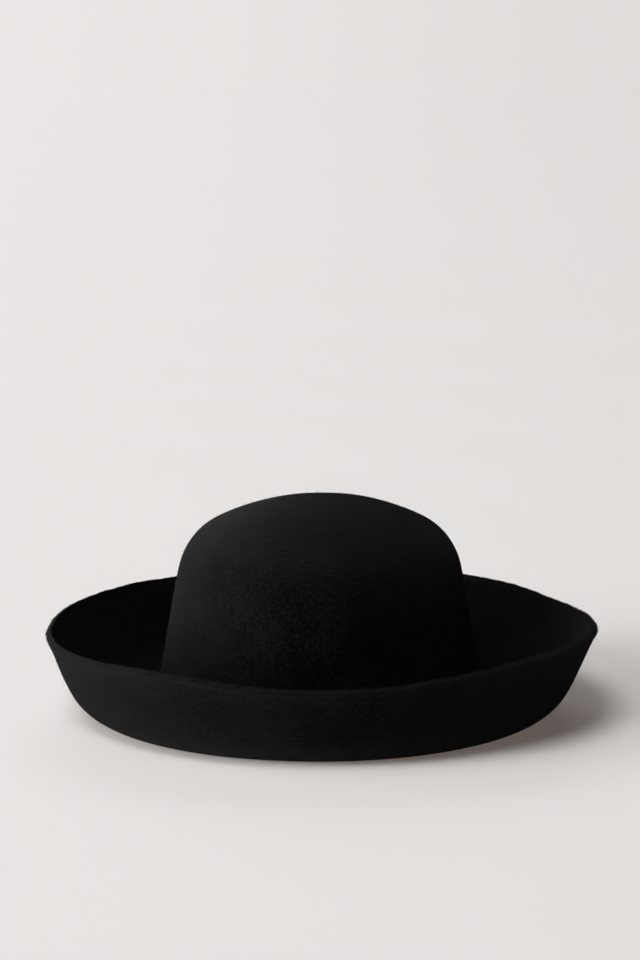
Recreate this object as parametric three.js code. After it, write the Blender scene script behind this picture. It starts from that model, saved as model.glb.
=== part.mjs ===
import * as THREE from "three";

// A felt hat with a round crown and a brim that is turned up all the way round.
// The real one is a single hood of wool felt, steamed and pulled over a block, so it is one
// solid: an even wall of felt, open below where the head goes in, with a cut edge at the rim.
// Millimetres, +Z up, front of the hat towards -Y. The origin is on the surface that the hat
// rests on, under the middle of the crown.

// The felt
const feltThickness = 3;
const edgeRounding = 0.9; // worn corners of the cut edge

// The head opening, inside the felt, where the crown meets the brim
const headWidth = 174;
const headLength = 206;

// The crown, on its outer face
const crownHeight = 118; // top of the crown above the resting surface
const crownTaper = 10; // degrees that the side leans in
const topRadius = 130;
const shoulderRadius = 37;

// The brim
const openingLift = 3; // underside of the brim at the head opening, above the resting surface
const breakRadius = 6; // inside corner between crown and brim
const restWidth = 8; // flattened ring that the hat rests on
const rollRadius = 27; // upper face of the curl
const brimReach = 61; // from the head opening to the rim, seen from above
const rimHeight = 48; // rim above the resting surface
const wallLean = 25.5; // degrees that the turned-up wall leans out

// Steamed and shaped by hand, neither crown nor rim is quite even. Each row holds shares of the
// sizes above at an azimuth in degrees, counted from the right-hand side towards the back.
const crownRows = [
  { azimuth: 0, taper: 1.0, shoulder: 1.0 },
  { azimuth: 90, taper: 1.0, shoulder: 1.0 },
  { azimuth: 180, taper: 0.94, shoulder: 1.04 },
  { azimuth: 270, taper: 1.0, shoulder: 1.0 },
];
const rimRows = [
  { azimuth: 0, height: 1.02, lean: 1.0 },
  { azimuth: 30, height: 1.02, lean: 1.04 },
  { azimuth: 60, height: 1.09, lean: 1.08 },
  { azimuth: 90, height: 1.04, lean: 1.08 },
  { azimuth: 120, height: 1.06, lean: 1.08 },
  { azimuth: 150, height: 1.03, lean: 1.04 },
  { azimuth: 180, height: 0.98, lean: 0.96 },
  { azimuth: 210, height: 1.0, lean: 1.0 },
  { azimuth: 240, height: 1.04, lean: 1.0 },
  { azimuth: 270, height: 0.95, lean: 1.08 },
  { azimuth: 300, height: 1.05, lean: 0.96 },
  { azimuth: 330, height: 1.11, lean: 0.88 },
];

// Fineness of the faceted skin
const aroundSteps = 72;
const steps = { top: 6, shoulder: 6, side: 4, break: 4, floor: 1, rest: 2, roll: 7, wall: 3, corner: 2 };

const radians = THREE.MathUtils.degToRad;
const half = feltThickness / 2;

// A column of a table of evenly spaced azimuth rows, curved smoothly between them.
function around(rows, column, azimuth) {
  const place = (azimuth / 360) * rows.length;
  const first = Math.floor(place);
  const at = (i) => rows[(i + rows.length) % rows.length][column];
  const [a, b, c, d] = [at(first - 1), at(first), at(first + 1), at(first + 2)];
  const t = place - first;
  return b + 0.5 * t * (c - a + t * (2 * a - 5 * b + 4 * c - d + t * (3 * (b - c) + d - a)));
}

// Distance from the axis to the head opening's oval at an azimuth.
function openingRadius(azimuth) {
  const across = Math.cos(radians(azimuth)) / (headWidth / 2);
  const along = Math.sin(radians(azimuth)) / (headLength / 2);
  return 1 / Math.hypot(across, along);
}

// Points on a bend of the wall, swung about a centre in the upright plane from one tilt to
// another. The centre is under a crowned bend (side 1) and over a hollow one (side -1).
function bend(centreR, centreZ, radius, side, from, to, count) {
  return Array.from({ length: count }, (_, i) => {
    const tilt = from + ((to - from) * (i + 1)) / count;
    const r = centreR + side * radius * Math.sin(tilt);
    const z = centreZ + side * radius * Math.cos(tilt);
    return { r, z, tilt };
  });
}

// Points on a straight stretch of the wall, from the point before it.
function stretch(before, r, z, tilt, count) {
  return Array.from({ length: count }, (_, i) => {
    const t = (i + 1) / count;
    return { r: before.r + (r - before.r) * t, z: before.z + (z - before.z) * t, tilt };
  });
}

// Middle of the felt from the top of the crown to the start of the hollow break, at an azimuth.
// The shoulder's centre is where its bend touches both the domed top and the leaning side.
function crownPoints(azimuth, corner, sideTilt, breakStart) {
  const top = topRadius - half;
  const topCentreZ = crownHeight - half - top;
  const shoulder = shoulderRadius * around(crownRows, "shoulder", azimuth) - half;
  const baseR = corner.r - shoulder * Math.sin(sideTilt);
  const baseZ = corner.z - shoulder * Math.cos(sideTilt) - topCentreZ;
  const nearest = baseR * Math.cos(sideTilt) - baseZ * Math.sin(sideTilt);
  const rise = nearest + Math.sqrt(nearest ** 2 - baseR ** 2 - baseZ ** 2 + (top - shoulder) ** 2);
  const shoulderR = baseR - rise * Math.cos(sideTilt);
  const shoulderZ = baseZ + rise * Math.sin(sideTilt);
  const topTilt = Math.atan2(shoulderR, shoulderZ);
  const apex = { r: 0, z: crownHeight - half, tilt: 0 };
  const points = [apex, ...bend(0, topCentreZ, top, 1, 0, topTilt, steps.top)];
  const shoulderTop = topCentreZ + shoulderZ;
  points.push(...bend(shoulderR, shoulderTop, shoulder, 1, topTilt, sideTilt, steps.shoulder));
  points.push(...stretch(points.at(-1), breakStart.r, breakStart.z, sideTilt, steps.side));
  return points;
}

// Middle of the felt in the upright plane at an azimuth, from the top of the crown out to the
// rim: r from the axis, z, and the tilt of the upper face from level, in radians.
function feltSection(azimuth) {
  const corner = { r: openingRadius(azimuth) + half, z: openingLift + half };
  const sideTilt = radians(90 - crownTaper * around(crownRows, "taper", azimuth));

  // The resting ring is placed so that an even rim would stand at the brim's reach
  const roll = rollRadius + half;
  const evenTilt = radians(wallLean - 90);
  const evenRise = rimHeight - rollRadius - feltThickness + rollRadius * Math.cos(evenTilt);
  const curlReach = -roll * Math.sin(evenTilt) + evenRise * Math.tan(radians(wallLean));
  const ringEnd = corner.r + brimReach - curlReach;
  const ringStart = ringEnd - restWidth;
  const floorTilt = Math.atan2(openingLift, ringStart - corner.r);

  // Crown, hollow break, then the floor, sloping down a little to the ring
  const hollow = breakRadius + half;
  const trim = hollow * Math.tan((sideTilt - floorTilt) / 2);
  const r = corner.r - trim * Math.cos(sideTilt);
  const z = corner.z + trim * Math.sin(sideTilt);
  const points = crownPoints(azimuth, corner, sideTilt, { r, z });
  const breakR = r + hollow * Math.sin(sideTilt);
  const breakZ = z + hollow * Math.cos(sideTilt);
  points.push(...bend(breakR, breakZ, hollow, -1, sideTilt, floorTilt, steps.break));
  points.push(...stretch(points.at(-1), ringStart, half, floorTilt, steps.floor));
  points.at(-1).tilt = 0;
  points.push(...stretch(points.at(-1), ringEnd, half, 0, steps.rest));

  // Curl and turned-up wall
  const lean = radians(wallLean * around(rimRows, "lean", azimuth));
  const wallTilt = lean - radians(90);
  points.push(...bend(ringEnd, half + roll, roll, -1, 0, wallTilt, steps.roll));
  const rimZ = rimHeight * around(rimRows, "height", azimuth) - half * Math.cos(wallTilt);
  const curl = points.at(-1);
  const rimR = curl.r + (rimZ - curl.z) * Math.tan(lean);
  points.push(...stretch(curl, rimR, rimZ, wallTilt, steps.wall));
  return points;
}

// The cut edge, as steps along the wall and across it from the middle of the rim.
function cutEdge() {
  const upper = Array.from({ length: steps.corner + 1 }, (_, i) => {
    const turn = radians((90 * i) / steps.corner);
    const along = edgeRounding * (Math.sin(turn) - 1);
    return { along, across: half + edgeRounding * (Math.cos(turn) - 1) };
  });
  const lower = upper.map(({ along, across }) => ({ along, across: -across })).reverse();
  return [...upper, ...lower];
}

// The whole wall: rings of points down its upper face, over the cut edge and back up its lower
// face, with a single point in the middle of each face of the crown.
function feltWall() {
  const azimuths = Array.from({ length: aroundSteps }, (_, j) => (360 * j) / aroundSteps);
  const sections = azimuths.map(feltSection);
  const middle = sections.map((section, j) =>
    section.map(({ r, z }) => {
      const turn = radians(azimuths[j]);
      return new THREE.Vector3(r * Math.cos(turn), r * Math.sin(turn), z);
    }),
  );
  const outward = sections.map((section, j) =>
    section.map(({ tilt }) => {
      const turn = radians(azimuths[j]);
      const level = Math.cos(tilt);
      return new THREE.Vector3(level * Math.cos(turn), level * Math.sin(turn), -Math.sin(tilt));
    }),
  );
  const faceNormal = (j, k) => {
    const next = middle[(j + 1) % aroundSteps][k];
    const previous = middle[(j + aroundSteps - 1) % aroundSteps][k];
    return outward[j][k].clone().cross(next.clone().sub(previous)).normalize();
  };
  const ring = (k, along, across) =>
    azimuths.map((_, j) => {
      const point = middle[j][k].clone().addScaledVector(outward[j][k], along);
      return point.addScaledVector(faceNormal(j, k), across);
    });

  const rim = sections[0].length - 1;
  const inwards = Array.from({ length: rim - 1 }, (_, i) => i + 1);
  const rings = inwards.map((k) => ring(k, 0, half));
  rings.push(...cutEdge().map(({ along, across }) => ring(rim, along, across)));
  rings.push(...inwards.reverse().map((k) => ring(k, 0, -half)));

  const outerApex = new THREE.Vector3(0, 0, crownHeight);
  const innerApex = new THREE.Vector3(0, 0, crownHeight - feltThickness);
  const points = [outerApex, ...rings.flat(), innerApex];
  const at = (k, j) => 1 + k * aroundSteps + (j % aroundSteps);
  const index = [];
  for (let j = 0; j < aroundSteps; j++) {
    index.push(0, at(0, j), at(0, j + 1));
    for (let k = 0; k < rings.length - 1; k++) {
      index.push(at(k, j), at(k + 1, j), at(k + 1, j + 1));
      index.push(at(k, j), at(k + 1, j + 1), at(k, j + 1));
    }
    index.push(points.length - 1, at(rings.length - 1, j + 1), at(rings.length - 1, j));
  }
  const geometry = new THREE.BufferGeometry().setFromPoints(points);
  geometry.setIndex(index);
  geometry.computeVertexNormals();
  return geometry;
}

const blackFelt = new THREE.MeshStandardMaterial({ color: 0x17181b, roughness: 0.95, metalness: 0 });
const felt = new THREE.Mesh(feltWall(), blackFelt);
felt.name = "felt_hat";

const hat = new THREE.Group();
hat.name = "hat";
hat.add(felt);
export default hat;
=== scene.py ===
import bmesh
import bpy
import math
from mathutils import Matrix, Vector


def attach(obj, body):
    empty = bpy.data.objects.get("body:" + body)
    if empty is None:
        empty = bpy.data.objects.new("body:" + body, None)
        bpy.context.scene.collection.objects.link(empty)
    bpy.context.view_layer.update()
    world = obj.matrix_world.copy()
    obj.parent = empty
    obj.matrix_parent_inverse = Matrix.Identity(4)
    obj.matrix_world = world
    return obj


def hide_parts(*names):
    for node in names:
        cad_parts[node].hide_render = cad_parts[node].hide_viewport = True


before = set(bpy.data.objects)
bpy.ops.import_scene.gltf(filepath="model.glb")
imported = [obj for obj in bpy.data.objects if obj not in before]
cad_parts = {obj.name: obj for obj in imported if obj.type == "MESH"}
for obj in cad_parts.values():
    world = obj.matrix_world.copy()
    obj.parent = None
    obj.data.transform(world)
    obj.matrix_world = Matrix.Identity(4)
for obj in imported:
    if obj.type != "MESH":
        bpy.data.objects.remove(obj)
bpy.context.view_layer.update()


# The hood: one piece of black wool felt, 3 mm thick. It is steamed and pulled over a block for the
# round crown, cut to a bare edge, and curled up by hand, so its surface and its edge waver a
# little. Here it is the frame's own wall, smoothed, with that small unevenness added.

mm = 0.001


def add_node(tree, kind, settings=None, inputs=None):
    """Adds a node with its settings. An input is a value, or the output socket that feeds it."""
    node = tree.nodes.new(kind)
    for name, value in (settings or {}).items():
        setattr(node, name, value)
    for name, value in (inputs or {}).items():
        if isinstance(value, bpy.types.NodeSocket):
            tree.links.new(value, node.inputs[name])
        else:
            node.inputs[name].default_value = value
    return node


def linear(hex_colour):
    """An sRGB hex colour as linear red, green, blue and alpha."""
    shares = [int(hex_colour[i:i + 2], 16) / 255 for i in (1, 3, 5)]
    return [s / 12.92 if s <= 0.04045 else ((s + 0.055) / 1.055) ** 2.4 for s in shares] + [1.0]


def start_shape(name, sizes):
    """An empty node tree that takes a shape and named sizes, and its group input's sockets."""
    shape = bpy.data.node_groups.new(name, "GeometryNodeTree")
    shape.is_modifier = True
    shape.interface.new_socket("Geometry", in_out="INPUT", socket_type="NodeSocketGeometry")
    shape.interface.new_socket("Geometry", in_out="OUTPUT", socket_type="NodeSocketGeometry")
    for size, value in sizes.items():
        kind = "NodeSocketInt" if isinstance(value, int) else "NodeSocketFloat"
        shape.interface.new_socket(size, in_out="INPUT", socket_type=kind)
    return shape, add_node(shape, "NodeGroupInput").outputs


def run_shape(piece, shape, sizes):
    """Runs a node tree on a piece with its named sizes and leaves the result as a plain mesh."""
    modifier = piece.modifiers.new(shape.name, "NODES")
    modifier.node_group = shape
    for socket in shape.interface.items_tree:
        if socket.name in sizes:
            modifier[socket.identifier] = sizes[socket.name]
    graph = bpy.context.evaluated_depsgraph_get()
    made = bpy.data.meshes.new_from_object(
        piece.evaluated_get(graph), preserve_all_data_layers=True, depsgraph=graph)
    piece.modifiers.remove(modifier)
    piece.data = made
    made.name = piece.name


# Wool felt, dyed black: a mat of curled fibres with no weave. It is matt and very dark, its shade
# mottled by the pile, and the nap gives it a soft grey bloom where it turns away from the eye. One
# fibre, 0.02 mm thick, is too fine to show, so clumps of fibres half a millimetre wide are drawn.
wool_felt = bpy.data.materials.new("wool_felt_dyed_black")
wool_felt.use_nodes = True
tree = wool_felt.node_tree
tree.nodes.clear()
pile_width, clump_width, cloud_width = 1.3 * mm, 0.5 * mm, 18 * mm
pile_depth, clump_depth = 0.9 * mm, 0.4 * mm
cloud_share, edge_lift = 0.2, 0.1
place = add_node(tree, "ShaderNodeTexCoord").outputs["Object"]
pile = add_node(tree, "ShaderNodeTexNoise", {}, {
    "Vector": place, "Scale": 1 / pile_width, "Detail": 3.0, "Roughness": 0.65}).outputs["Fac"]
clumps = add_node(tree, "ShaderNodeTexNoise", {}, {
    "Vector": place, "Scale": 1 / clump_width, "Detail": 2.0, "Distortion": 1.5}).outputs["Fac"]
clouds = add_node(tree, "ShaderNodeTexNoise", {}, {
    "Vector": place, "Scale": 1 / cloud_width, "Detail": 2.0}).outputs["Fac"]
cut_edge = add_node(tree, "ShaderNodeAttribute", {"attribute_name": "cut_edge"}).outputs["Fac"]
mottle = add_node(tree, "ShaderNodeMix", {"data_type": "FLOAT"}, {
    0: cloud_share, 2: pile, 3: clouds}).outputs[0]
paler = add_node(tree, "ShaderNodeMath", {"operation": "MULTIPLY_ADD"}, {
    0: cut_edge, 1: edge_lift, 2: mottle}).outputs["Value"]
shade = add_node(tree, "ShaderNodeValToRGB", {}, {"Fac": paler})
shade.color_ramp.elements[0].position = 0.43
shade.color_ramp.elements[0].color = linear("#010101")
shade.color_ramp.elements[1].position = 0.63
shade.color_ramp.elements[1].color = linear("#0f0f0f")
pile_relief = add_node(tree, "ShaderNodeBump", {}, {
    "Strength": 1.0, "Distance": pile_depth, "Height": pile})
clump_relief = add_node(tree, "ShaderNodeBump", {}, {
    "Strength": 1.0, "Distance": clump_depth, "Height": clumps, "Normal": pile_relief.outputs["Normal"]})
felt_surface = add_node(tree, "ShaderNodeBsdfPrincipled", {}, {
    "Base Color": shade.outputs["Color"], "Roughness": 1.0, "IOR": 1.5, "Specular IOR Level": 0.0,
    "Sheen Weight": 0.036, "Sheen Roughness": 0.45, "Normal": clump_relief.outputs["Normal"]})
add_node(tree, "ShaderNodeOutputMaterial", {}, {"Surface": felt_surface.outputs["BSDF"]})

# The frame's wall is loose triangles: they are merged into even faces. The corners of the cut edge,
# the only sharp ones, are found by their angle. There the shears press the felt's two skins apart.
# The inner one stands proud as a lip beside a shallow groove of open fibres. The outer one does so
# at a few places only: on the curved rim a corner's neighbours lie inward of it, as the groove does,
# so most of them sink with it. The corners are taken in the mesh's own order, so that every run
# gives the same wall.
weld, corner_angle = 0.01 * mm, math.radians(35)
same_face, near_square = math.radians(40), math.radians(60)
lip, groove, skin = 0.75 * mm, 0.6 * mm, 0.3 * mm
wall = bmesh.new()
wall.from_mesh(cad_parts["felt_hat"].data)
bmesh.ops.remove_doubles(wall, verts=wall.verts, dist=weld)
bmesh.ops.join_triangles(
    wall, faces=wall.faces, angle_face_threshold=same_face, angle_shape_threshold=near_square)
rim = wall.verts.layers.float.new("rim")
corners = []
for vertex in wall.verts:
    if max(edge.calc_face_angle(0.0) for edge in vertex.link_edges) > corner_angle:
        corners.append(vertex)
opened = {}
for corner in corners:
    others = [other for other in corners if other != corner]
    facing = min(others, key=lambda other: (other.co - corner.co).length)
    across = (corner.co - facing.co).normalized()
    along = (corner.normal - across * corner.normal.dot(across)).normalized()
    opened[corner] = corner.co + across * lip
    for edge in corner.link_edges:
        near = edge.other_vert(corner)
        near[rim] = 1.0
        if (corner.co - near.co).dot(across) > skin:
            opened[near] = near.co - along * groove
for vertex, moved_to in opened.items():
    vertex.co = moved_to
hood_mesh = bpy.data.meshes.new("hood")
wall.to_mesh(hood_mesh)
wall.free()
hood = bpy.data.objects.new("hood", hood_mesh)
bpy.context.scene.collection.objects.link(hood)

blocking_sizes = {"Corner angle": corner_angle, "Crispness": 0.9}
blocking, given = start_shape("blocking", blocking_sizes)
bend = add_node(blocking, "GeometryNodeInputMeshEdgeAngle").outputs["Unsigned Angle"]
is_corner = add_node(blocking, "ShaderNodeMath", {"operation": "GREATER_THAN"}, {
    0: bend, 1: given["Corner angle"]}).outputs["Value"]
crispness = add_node(blocking, "ShaderNodeMath", {"operation": "MULTIPLY"}, {
    0: is_corner, 1: given["Crispness"]}).outputs["Value"]
blocked = add_node(blocking, "GeometryNodeSubdivisionSurface", {}, {
    "Mesh": given["Geometry"], "Level": 1, "Edge Crease": crispness}).outputs["Mesh"]
add_node(blocking, "NodeGroupOutput", {}, {"Geometry": blocked})
run_shape(hood, blocking, blocking_sizes)

# The cut edge wavers more finely than the rest of the hood, so its faces are divided once more
# around the rim.
rim_share, ring_share = 0.4, 0.7
band = bmesh.new()
band.from_mesh(hood.data)
rim = band.verts.layers.float["rim"]
around_rim = []
for edge in band.edges:
    first, last = edge.verts
    forward = (last.co - first.co).normalized()
    sideways = Vector((-first.co.y, first.co.x, 0.0)).normalized()
    if min(first[rim], last[rim]) > rim_share and abs(forward.dot(sideways)) > ring_share:
        around_rim.append(edge)
bmesh.ops.subdivide_edges(band, edges=around_rim, cuts=1, use_grid_fill=True)
band.to_mesh(hood.data)
band.free()

# Hand shaping: the whole wall wanders by part of a millimetre, but not where it rests. The crown has
# risen a little, towards the right, the front of the rim sags, and the brim bellies out low down at
# its left front. The cut edge wavers as the shears left it, and its fibres swell in lumps.
edge_start, up_and_right, to_left_front = 0.75, (0.6, 0.0, 1.0), (-0.75, -0.66, 0.0)
shaping_sizes = {
    "Wander": 1.6 * mm, "Wander width": 60 * mm, "Lump": 1.1 * mm, "Lump width": 6 * mm,
    "Front sag": 1.5 * mm, "Side": -10 * mm, "Front": -70 * mm,
    "Crown rise": 0.9 * mm, "Crown foot": 55 * mm, "Crown shoulder": 105 * mm,
    "Bulge": 2.7 * mm, "Bulge start": 98 * mm, "Bulge full": 138 * mm,
    "Bulge top": 45 * mm, "Bulge belly": 20 * mm,
    "Waver": 1.2 * mm, "Waver width": 22 * mm, "Rest height": 5 * mm, "Free height": 25 * mm}
shaping, given = start_shape("hand_shaping", shaping_sizes)
smooth = add_node(shaping, "GeometryNodeSubdivisionSurface", {}, {
    "Mesh": given["Geometry"], "Level": 1}).outputs["Mesh"]
position = add_node(shaping, "GeometryNodeInputPosition").outputs["Position"]
height = add_node(shaping, "ShaderNodeSeparateXYZ", {}, {"Vector": position}).outputs["Z"]
near_rim = add_node(shaping, "GeometryNodeInputNamedAttribute", {"data_type": "FLOAT"}, {
    "Name": "rim"}).outputs["Attribute"]
on_edge = add_node(shaping, "ShaderNodeMapRange", {"interpolation_type": "SMOOTHSTEP"}, {
    "Value": near_rim, "From Min": edge_start, "From Max": 1.0}).outputs["Result"]
marked = add_node(shaping, "GeometryNodeStoreNamedAttribute", {
    "data_type": "FLOAT", "domain": "POINT"}, {
    "Geometry": smooth, "Name": "cut_edge", "Value": on_edge}).outputs["Geometry"]


def drift(width, size, detail):
    """Adds noise of a width and size to the shaping tree: a vector that points any way."""
    scale = add_node(shaping, "ShaderNodeMath", {"operation": "DIVIDE"}, {0: 1.0, 1: width})
    noise = add_node(shaping, "ShaderNodeTexNoise", {}, {
        "Vector": position, "Scale": scale.outputs["Value"], "Detail": detail})
    centred = add_node(shaping, "ShaderNodeVectorMath", {"operation": "SUBTRACT"}, {
        0: noise.outputs["Color"], 1: (0.5, 0.5, 0.5)})
    return add_node(shaping, "ShaderNodeVectorMath", {"operation": "SCALE"}, {
        0: centred.outputs["Vector"], "Scale": size}).outputs["Vector"]


free = add_node(shaping, "ShaderNodeMapRange", {"interpolation_type": "SMOOTHSTEP"}, {
    "Value": height, "From Min": given["Rest height"], "From Max": given["Free height"]}).outputs["Result"]
wander_size = add_node(shaping, "ShaderNodeMath", {"operation": "MULTIPLY"}, {
    0: free, 1: given["Wander"]}).outputs["Value"]
wander = drift(given["Wander width"], wander_size, 1.0)
waver_size = add_node(shaping, "ShaderNodeMath", {"operation": "MULTIPLY"}, {
    0: near_rim, 1: given["Waver"]}).outputs["Value"]
waver = drift(given["Waver width"], waver_size, 1.0)
lump_size = add_node(shaping, "ShaderNodeMath", {"operation": "MULTIPLY"}, {
    0: on_edge, 1: given["Lump"]}).outputs["Value"]
lump = drift(given["Lump width"], lump_size, 2.0)
depth = add_node(shaping, "ShaderNodeSeparateXYZ", {}, {"Vector": position}).outputs["Y"]
in_front = add_node(shaping, "ShaderNodeMapRange", {"interpolation_type": "SMOOTHSTEP"}, {
    "Value": depth, "From Min": given["Side"], "From Max": given["Front"]}).outputs["Result"]
sagging = add_node(shaping, "ShaderNodeMath", {"operation": "MULTIPLY"}, {
    0: in_front, 1: given["Front sag"]}).outputs["Value"]
sag_size = add_node(shaping, "ShaderNodeMath", {"operation": "MULTIPLY"}, {
    0: sagging, 1: near_rim}).outputs["Value"]
sag = add_node(shaping, "ShaderNodeVectorMath", {"operation": "SCALE"}, {
    0: (0.0, 0.0, -1.0), "Scale": sag_size}).outputs["Vector"]
on_crown = add_node(shaping, "ShaderNodeMapRange", {"interpolation_type": "SMOOTHSTEP"}, {
    "Value": height, "From Min": given["Crown foot"], "From Max": given["Crown shoulder"]
    }).outputs["Result"]
rise_size = add_node(shaping, "ShaderNodeMath", {"operation": "MULTIPLY"}, {
    0: on_crown, 1: given["Crown rise"]}).outputs["Value"]
rise = add_node(shaping, "ShaderNodeVectorMath", {"operation": "SCALE"}, {
    0: up_and_right, "Scale": rise_size}).outputs["Vector"]
outward = add_node(shaping, "ShaderNodeVectorMath", {"operation": "DOT_PRODUCT"}, {
    0: position, 1: to_left_front}).outputs["Value"]
at_left_front = add_node(shaping, "ShaderNodeMapRange", {"interpolation_type": "SMOOTHSTEP"}, {
    "Value": outward, "From Min": given["Bulge start"], "From Max": given["Bulge full"]}).outputs["Result"]
low_down = add_node(shaping, "ShaderNodeMapRange", {"interpolation_type": "SMOOTHSTEP"}, {
    "Value": height, "From Min": given["Bulge top"], "From Max": given["Bulge belly"]}).outputs["Result"]
bulging = add_node(shaping, "ShaderNodeMath", {"operation": "MULTIPLY"}, {
    0: at_left_front, 1: low_down}).outputs["Value"]
bulge_size = add_node(shaping, "ShaderNodeMath", {"operation": "MULTIPLY"}, {
    0: bulging, 1: given["Bulge"]}).outputs["Value"]
bulge = add_node(shaping, "ShaderNodeVectorMath", {"operation": "SCALE"}, {
    0: to_left_front, "Scale": bulge_size}).outputs["Vector"]
moved = wander
for part in (waver, lump, sag, rise, bulge):
    moved = add_node(shaping, "ShaderNodeVectorMath", {"operation": "ADD"}, {
        0: moved, 1: part}).outputs["Vector"]
shaped = add_node(shaping, "GeometryNodeSetPosition", {}, {
    "Geometry": marked, "Offset": moved}).outputs["Geometry"]
soft = add_node(shaping, "GeometryNodeSetShadeSmooth", {}, {"Geometry": shaped}).outputs["Geometry"]
finished = add_node(shaping, "GeometryNodeSetMaterial", {}, {
    "Geometry": soft, "Material": wool_felt}).outputs["Geometry"]
add_node(shaping, "NodeGroupOutput", {}, {"Geometry": finished})
run_shape(hood, shaping, shaping_sizes)
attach(hood, "root")
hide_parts("felt_hat")


# The nap: single wool fibres that the brush has lifted off the felt, sparse on its faces and
# close along the cut edge. A real one is 0.02 mm thick; here it is thicker, so that it shows.

# Wool fibre, dyed with the felt: it takes the dye unevenly along its length, which gives near black
# strands with a faint grey gleam.
wool_fibre = bpy.data.materials.new("wool_fibre_dyed_black")
wool_fibre.use_nodes = True
tree = wool_fibre.node_tree
tree.nodes.clear()
place = add_node(tree, "ShaderNodeTexCoord").outputs["Object"]
strands = add_node(tree, "ShaderNodeTexNoise", {}, {
    "Vector": place, "Scale": 1 / clump_width}).outputs["Fac"]
shade = add_node(tree, "ShaderNodeValToRGB", {}, {"Fac": strands})
shade.color_ramp.elements[0].position = 0.4
shade.color_ramp.elements[0].color = linear("#050505")
shade.color_ramp.elements[1].position = 0.6
shade.color_ramp.elements[1].color = linear("#151516")
fibre_surface = add_node(tree, "ShaderNodeBsdfPrincipled", {}, {
    "Base Color": shade.outputs["Color"], "Roughness": 0.8, "IOR": 1.55, "Specular IOR Level": 0.1})
add_node(tree, "ShaderNodeOutputMaterial", {}, {"Surface": fibre_surface.outputs["BSDF"]})

# A fibre rises to its arch and bends over to its tip, both as shares of its length. No two are equally
# long, and each leans and faces its own way.
fibre_arch, fibre_tip = (0.1, 0.0, 0.55), (0.9, 0.2, 0.35)
shortest, longest, most_lean = 0.4, 1.3, 0.5
nap_sizes = {
    "Density": 38000.0, "Edge density": 0.0, "Length": 1.3 * mm, "Thickness": 0.06 * mm,
    "Lowest": 4 * mm, "Seed": 7}
fuzz_sizes = {
    "Density": 0.0, "Edge density": 1.1e6, "Length": 1.0 * mm, "Thickness": 0.1 * mm,
    "Lowest": 4 * mm, "Seed": 11}
growing, given = start_shape("fibre_growing", nap_sizes)
position = add_node(growing, "GeometryNodeInputPosition").outputs["Position"]
height = add_node(growing, "ShaderNodeSeparateXYZ", {}, {"Vector": position}).outputs["Z"]
clear = add_node(growing, "ShaderNodeMath", {"operation": "GREATER_THAN"}, {
    0: height, 1: given["Lowest"]}).outputs["Value"]
cut_edge = add_node(growing, "GeometryNodeInputNamedAttribute", {"data_type": "FLOAT"}, {
    "Name": "cut_edge"}).outputs["Attribute"]
density = add_node(growing, "ShaderNodeMath", {"operation": "MULTIPLY_ADD"}, {
    0: cut_edge, 1: given["Edge density"], 2: given["Density"]}).outputs["Value"]
roots = add_node(growing, "GeometryNodeDistributePointsOnFaces", {}, {
    "Mesh": given["Geometry"], "Selection": clear, "Density": density, "Seed": given["Seed"]})
arch = add_node(growing, "ShaderNodeVectorMath", {"operation": "SCALE"}, {
    0: fibre_arch, "Scale": given["Length"]}).outputs["Vector"]
tip = add_node(growing, "ShaderNodeVectorMath", {"operation": "SCALE"}, {
    0: fibre_tip, "Scale": given["Length"]}).outputs["Vector"]
bent = add_node(growing, "GeometryNodeCurveQuadraticBezier", {}, {
    "Resolution": 2, "Start": (0.0, 0.0, 0.0), "Middle": arch, "End": tip}).outputs["Curve"]
half_thick = add_node(growing, "ShaderNodeMath", {"operation": "DIVIDE"}, {
    0: given["Thickness"], 1: 2.0}).outputs["Value"]
round_section = add_node(growing, "GeometryNodeCurvePrimitiveCircle", {}, {
    "Resolution": 3, "Radius": half_thick}).outputs["Curve"]
fibre = add_node(growing, "GeometryNodeCurveToMesh", {}, {
    "Curve": bent, "Profile Curve": round_section, "Fill Caps": True}).outputs["Mesh"]
size = add_node(growing, "FunctionNodeRandomValue", {"data_type": "FLOAT"}, {
    2: shortest, 3: longest, "Seed": given["Seed"]}).outputs[1]
planted = add_node(growing, "GeometryNodeInstanceOnPoints", {}, {
    "Points": roots.outputs["Points"], "Instance": fibre, "Rotation": roots.outputs["Rotation"],
    "Scale": size}).outputs["Instances"]
turn = add_node(growing, "FunctionNodeRandomValue", {"data_type": "FLOAT_VECTOR"}, {
    0: (-most_lean, -most_lean, -math.pi), 1: (most_lean, most_lean, math.pi),
    "Seed": given["Seed"]}).outputs[0]
turned = add_node(growing, "GeometryNodeRotateInstances", {}, {
    "Instances": planted, "Rotation": turn}).outputs["Instances"]
realized = add_node(growing, "GeometryNodeRealizeInstances", {}, {
    "Geometry": turned}).outputs["Geometry"]
finished = add_node(growing, "GeometryNodeSetMaterial", {}, {
    "Geometry": realized, "Material": wool_fibre}).outputs["Geometry"]
add_node(growing, "NodeGroupOutput", {}, {"Geometry": finished})
for name, sizes in (("nap", nap_sizes), ("edge_fuzz", fuzz_sizes)):
    fibres_grown = bpy.data.objects.new(name, hood.data.copy())
    bpy.context.scene.collection.objects.link(fibres_grown)
    run_shape(fibres_grown, growing, sizes)
    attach(fibres_grown, "root")


# The lights: a wide low window at the left, a little in front, a ceiling that it brightens, and a
# weaker light from behind. The window also makes the floor bright out of view at the left, and that
# throws light upwards. Each far light's row is its azimuth and elevation in degrees, and strength.

patch_width = 28
far_lights = {
    "window_low": (195, 4, 4.01), "window_front": (225, 20, 1.68), "window_back": (165, 20, 0.435),
    "ceiling_front": (240, 55, 1.2), "ceiling_left": (180, 75, 0.24),
    "rear_high": (90, 30, 0.55), "rear_low": (120, 4, 0.3)}


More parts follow.
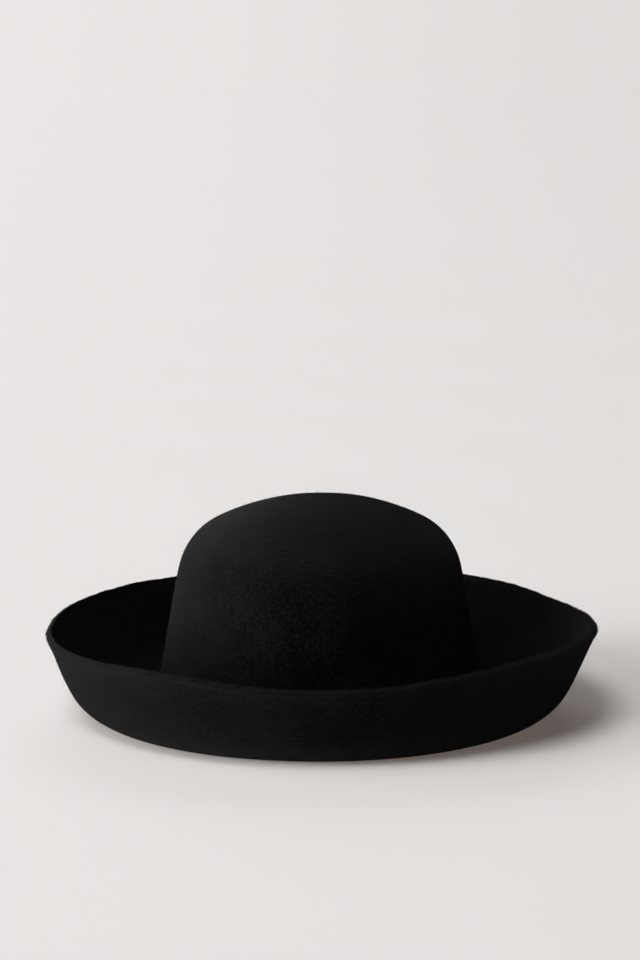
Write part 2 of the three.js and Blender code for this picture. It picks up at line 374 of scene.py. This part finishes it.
def far_light(name, azimuth, elevation, strength):
    """Light of even strength on the whole scene, from a round patch of sky."""
    lamp = bpy.data.lights.new(name, "SUN")
    lamp.angle = math.radians(patch_width)
    lamp.energy = strength
    around, up = math.radians(azimuth), math.radians(elevation)
    towards = Vector((math.cos(up) * math.cos(around), math.cos(up) * math.sin(around), math.sin(up)))
    light = bpy.data.objects.new(name, lamp)
    light.rotation_euler = (-towards).to_track_quat("-Z", "Y").to_euler()
    bpy.context.scene.collection.objects.link(light)


def floor_glow(name, place, size, watts):
    """Light thrown upwards by a bright patch of floor, of a width and depth in metres."""
    lamp = bpy.data.lights.new(name, "AREA")
    lamp.shape = "RECTANGLE"
    lamp.size, lamp.size_y = size
    lamp.energy = watts
    light = bpy.data.objects.new(name, lamp)
    light.location = place
    light.rotation_euler = (math.pi, 0.0, 0.0)
    light.visible_camera = False
    bpy.context.scene.collection.objects.link(light)


for name, (azimuth, elevation, strength) in far_lights.items():
    far_light(name, azimuth, elevation, strength)
floor_glow("glow_left", (-1.6, 0.0, 0.002), (1.2, 2.0), 365)
floor_glow("glow_near_left", (-0.6, 0.0, 0.002), (0.5, 0.8), 18.5)
bpy.context.scene.view_settings.view_transform = "Standard"


# The stage: a wide floor of matt pale paper, and far behind it, on all sides, a backdrop that is lit
# to the same paleness, so that floor and backdrop read as one seamless sweep. The paper's weak glow
# stands for the room's light, which reaches into every shadow.

floor_radius, backdrop_radius, around_steps = 30.0, 29.8, 96
backdrop_foot, backdrop_top = -0.5, 12.0
glow_colour, glow_strength, light_strength = linear("#fbe8dd"), 0.12, 0.834
# Painted shade: the span over which the paper's colour darkens from left to right, for its light's
# falloff.
falloff_centre, falloff_half = (0.0, 4.0, 1.5), 0.16


def paper_painted_falloff(tree):
    """Painted shade: the paper's colour falls off from left to right, standing in for the falloff of its
    light.
    """
    place = add_node(tree, "ShaderNodeTexCoord").outputs["Object"]
    from_centre = add_node(tree, "ShaderNodeVectorMath", {"operation": "ADD"}, {
        0: place, 1: falloff_centre})
    way = add_node(tree, "ShaderNodeVectorMath", {"operation": "NORMALIZE"}, {
        0: from_centre.outputs["Vector"]})
    across = add_node(tree, "ShaderNodeSeparateXYZ", {}, {"Vector": way.outputs["Vector"]}).outputs["X"]
    share = add_node(tree, "ShaderNodeMapRange", {"interpolation_type": "SMOOTHSTEP"}, {
        "Value": across, "From Min": -falloff_half, "From Max": falloff_half})
    shade = add_node(tree, "ShaderNodeValToRGB", {}, {"Fac": share.outputs["Result"]})
    shade.color_ramp.elements[0].color = linear("#f0efef")
    shade.color_ramp.elements[1].color = linear("#dedddd")
    return shade.outputs["Color"]


# Background paper, uncoated: a pale, faintly warm white with no shine. Its colour is painted a shade
# darker to the right, as painted shade for its light's falloff.
paper = bpy.data.materials.new("matt_backdrop_paper")
paper.use_nodes = True
tree = paper.node_tree
tree.nodes.clear()
paper_surface = add_node(tree, "ShaderNodeBsdfPrincipled", {}, {
    "Base Color": paper_painted_falloff(tree), "Roughness": 1.0, "Specular IOR Level": 0.0,
    "Emission Color": glow_colour, "Emission Strength": glow_strength})
add_node(tree, "ShaderNodeOutputMaterial", {}, {"Surface": paper_surface.outputs["BSDF"]})

# The same paper far away, as the eye sees it lit, with the same painted shade darker to the right. It
# throws no light of its own on the floor.
lit_paper = bpy.data.materials.new("lit_backdrop_paper")
lit_paper.use_nodes = True
lit_paper.cycles.emission_sampling = "NONE"
tree = lit_paper.node_tree
tree.nodes.clear()
glow = add_node(tree, "ShaderNodeEmission", {}, {"Color": glow_colour, "Strength": glow_strength})
light = add_node(tree, "ShaderNodeEmission", {}, {
    "Color": paper_painted_falloff(tree), "Strength": light_strength})
both = add_node(tree, "ShaderNodeAddShader", {}, {
    0: glow.outputs["Emission"], 1: light.outputs["Emission"]})
add_node(tree, "ShaderNodeOutputMaterial", {}, {"Surface": both.outputs["Shader"]})


def round_sheet(name, rings, material):
    """A sheet between circles of a radius and height about the hat; one circle alone is a disc."""
    sheet = bmesh.new()
    turns = [2 * math.pi * step / around_steps for step in range(around_steps)]
    circles = []
    for radius, height in rings:
        circles.append([
            sheet.verts.new((radius * math.cos(turn), radius * math.sin(turn), height)) for turn in turns])
    if len(circles) == 1:
        sheet.faces.new(circles[0])
    for inner, outer in zip(circles, circles[1:]):
        for step in range(around_steps):
            after = (step + 1) % around_steps
            sheet.faces.new((inner[step], outer[step], outer[after], inner[after]))
    mesh = bpy.data.meshes.new(name)
    sheet.to_mesh(mesh)
    sheet.free()
    mesh.materials.append(material)
    made = bpy.data.objects.new(name, mesh)
    bpy.context.scene.collection.objects.link(made)
    return made


round_sheet("floor", [(floor_radius, 0.0)], paper)
backdrop = round_sheet(
    "backdrop", [(backdrop_radius, backdrop_foot), (backdrop_radius, backdrop_top)], lit_paper)
backdrop.visible_diffuse = False
backdrop.visible_glossy = False
backdrop.visible_shadow = False


# The camera: in front of the hat and above it, looking down at it by 10.5 degrees from 1.7 m. The
# photograph shows the hat below the middle of its upright frame.

frame_width, frame_height = 640, 960
camera_distance, fall_degrees = 1.7, 10.54
aim = Vector((0.0, 0.0, 0.045))
aim_column, aim_row = 320.4, 628.2
long_side_pixels = 3110
fall = math.radians(fall_degrees)
camera = bpy.data.cameras.new("camera")
camera.sensor_width = 36.0
camera.lens = long_side_pixels / frame_height * camera.sensor_width
camera.clip_start, camera.clip_end = 0.05, 50.0
eye = bpy.data.objects.new("camera", camera)
eye.location = aim + camera_distance * Vector((0.0, -math.cos(fall), math.sin(fall)))
pitch = fall - math.atan2(aim_row - frame_height / 2, long_side_pixels)
yaw = math.atan2(aim_column - frame_width / 2, long_side_pixels)
eye.rotation_euler = (math.pi / 2 - pitch, 0.0, yaw)
bpy.context.scene.collection.objects.link(eye)
bpy.context.scene.camera = eye
